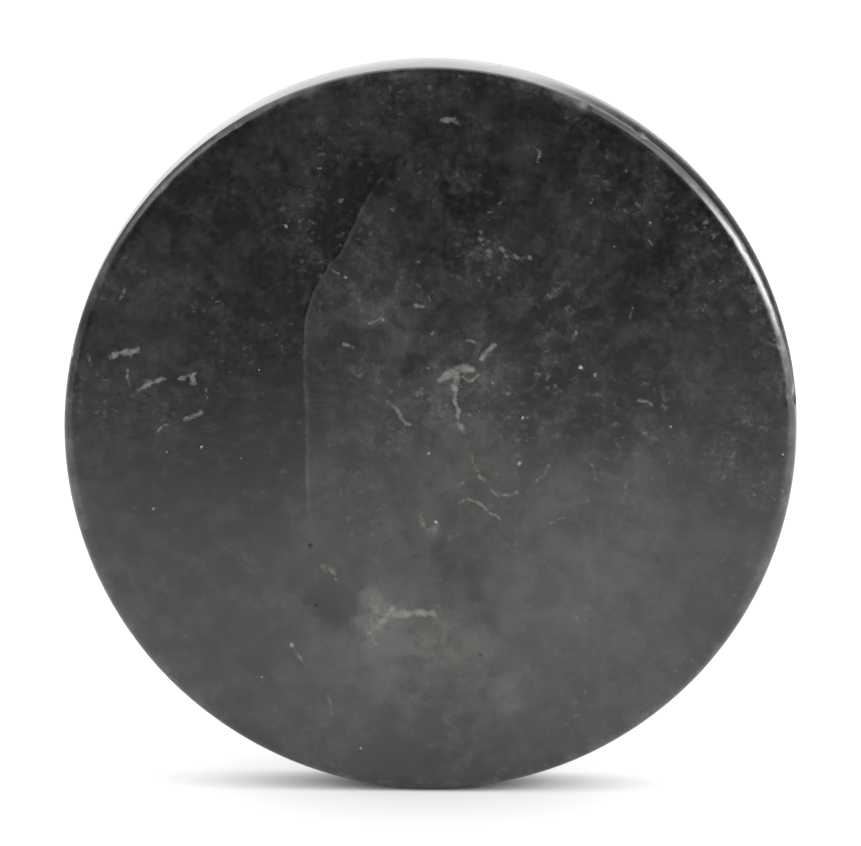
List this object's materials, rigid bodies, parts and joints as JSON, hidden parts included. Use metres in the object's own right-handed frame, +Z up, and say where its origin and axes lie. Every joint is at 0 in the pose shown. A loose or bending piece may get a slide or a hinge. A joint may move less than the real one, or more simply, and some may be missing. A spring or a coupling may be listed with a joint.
{
  "type": "granite slab",
  "caption": "Round slab of dark honed granite with eased rims, a flat working face and stick-on rubber feet on its back, standing on its edge.",
  "frame": {"origin": "on the ground, under the middle of the slab as it stands on its edge", "axes": "+Z up; +Y along the disc's axis, from the working face towards the feet on the back; +X to the right seen from the working face's side"},
  "size_m": [0.15, 0.0234, 0.15],
  "materials": {
    "granite": "honed, near-black, with pale flecks",
    "rubber": "matt moulded"
  },
  "bodies": {
    "root": {"stone_disc": "granite", "foot_1": "rubber", "foot_2": "rubber", "foot_3": "rubber", "foot_4": "rubber"}
  },
  "joints": []
}
